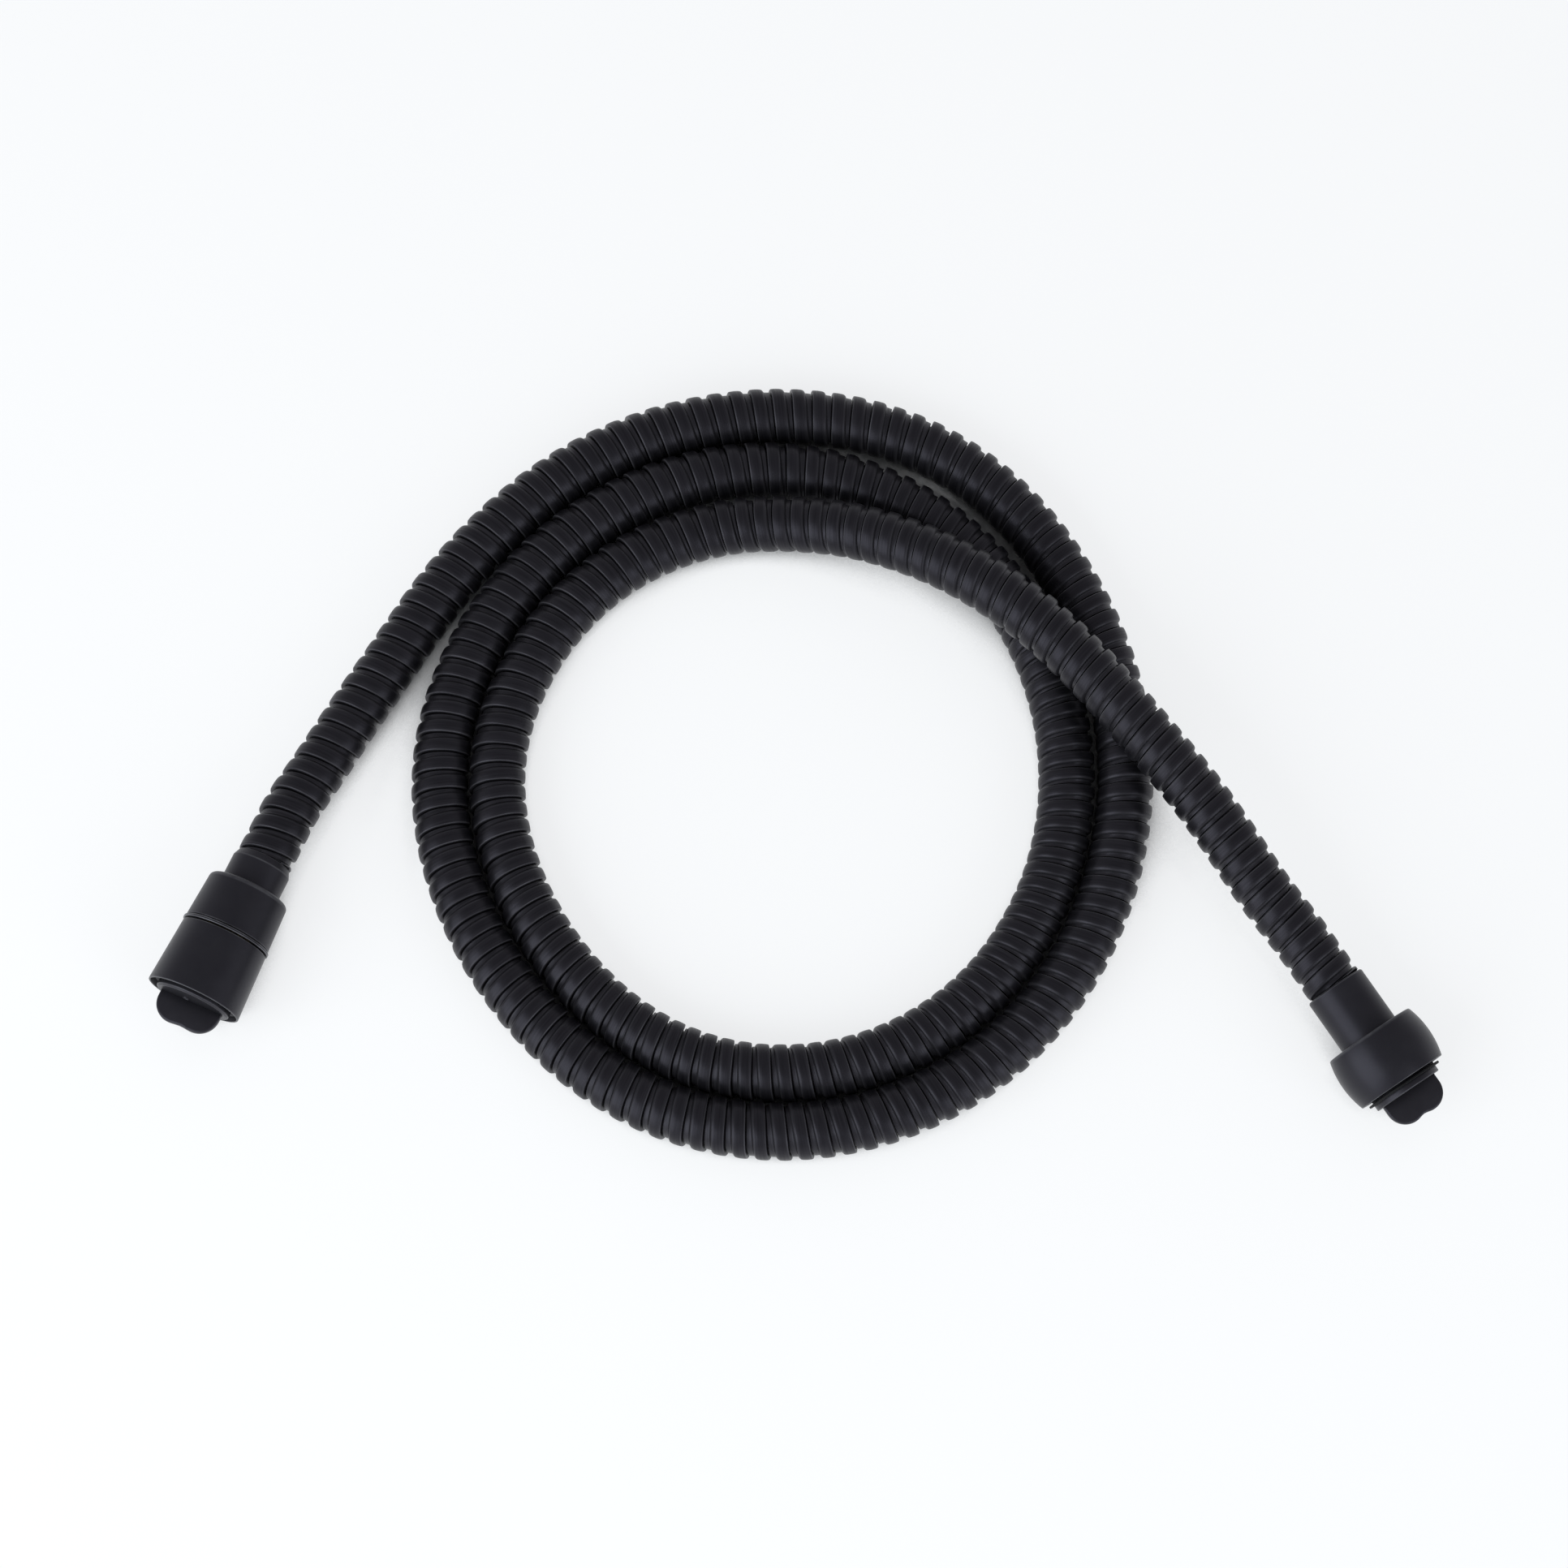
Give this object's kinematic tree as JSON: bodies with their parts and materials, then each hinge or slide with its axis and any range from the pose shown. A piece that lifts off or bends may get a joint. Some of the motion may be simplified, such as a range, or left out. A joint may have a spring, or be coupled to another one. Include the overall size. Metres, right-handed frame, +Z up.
{
  "type": "shower hose",
  "caption": "Black spiral-cased shower hose in a flat coil: swivel cone nut at one end, barrel nut at the other, a pull plug in each.",
  "frame": {"origin": "on the surface the hose lies on, under the middle of its bounding box", "axes": "+Z up off the surface; +X along the long side, from the cone nut's end towards the barrel nut's end; +Y away from the two nuts, towards the far side of the coil"},
  "size_m": [0.3268, 0.2066, 0.0279],
  "materials": {
    "black_casing": "matte black",
    "black_fitting": "matte black",
    "black_plastic": "satin",
    "grey_liner": "smooth",
    "brass": "machined",
    "steel": "drawn wire",
    "black_rubber": "matte",
    "white_acetal": "smooth"
  },
  "bodies": {
    "hose": {"spiral_casing": "black_casing", "inner_tube": "grey_liner", "cone_end_ferrule": "black_fitting", "cone_end_crimp_sleeve": "brass", "cone_end_nipple": "brass", "cone_rear_sleeve": "black_fitting", "barrel_end_ferrule": "black_fitting", "barrel_end_crimp_sleeve": "brass", "barrel_end_nipple": "brass", "barrel_nut_washer": "black_rubber"},
    "cone_spindle": {"swivel_spindle": "brass", "rear_o_ring": "black_rubber", "front_o_ring": "black_rubber", "snap_ring": "steel", "cone_nut_washer": "black_rubber"},
    "cone_nut": {"cone_nut": "black_fitting", "seam_ring": "black_plastic"},
    "cone_plug": {"cone_end_plug": "black_plastic"},
    "barrel_glide": {"glide_ring": "white_acetal"},
    "barrel_nut": {"barrel_nut": "black_fitting"},
    "barrel_plug": {"barrel_end_plug": "black_plastic"}
  },
  "joints": [
    {"name": "cone_swivel", "type": "hinge", "parent": "hose", "child": "cone_spindle", "pos_m": [-0.13598, -0.02709, 0.0107], "axis": [-0.3997, -0.9149, 0.0558], "continuous": true},
    {"name": "cone_nut_spin", "type": "hinge", "parent": "cone_spindle", "child": "cone_nut", "pos_m": [-0.13598, -0.02709, 0.0107], "axis": [-0.3997, -0.9149, 0.0558], "continuous": true},
    {"name": "cone_plug_pull", "type": "slide", "parent": "cone_nut", "child": "cone_plug", "axis": [-0.3997, -0.9149, 0.0558], "range_m": [0, 0.014]},
    {"name": "barrel_nut_slide", "type": "slide", "parent": "hose", "child": "barrel_glide", "axis": [-0.5514, 0.8331, 0.0436], "range_m": [0, 0.012]},
    {"name": "barrel_nut_spin", "type": "hinge", "parent": "barrel_glide", "child": "barrel_nut", "pos_m": [0.13742, -0.06099, 0.0142], "axis": [0.5514, -0.8331, -0.0436], "continuous": true},
    {"name": "barrel_plug_pull", "type": "slide", "parent": "hose", "child": "barrel_plug", "axis": [0.5514, -0.8331, -0.0436], "range_m": [0, 0.012]}
  ]
}
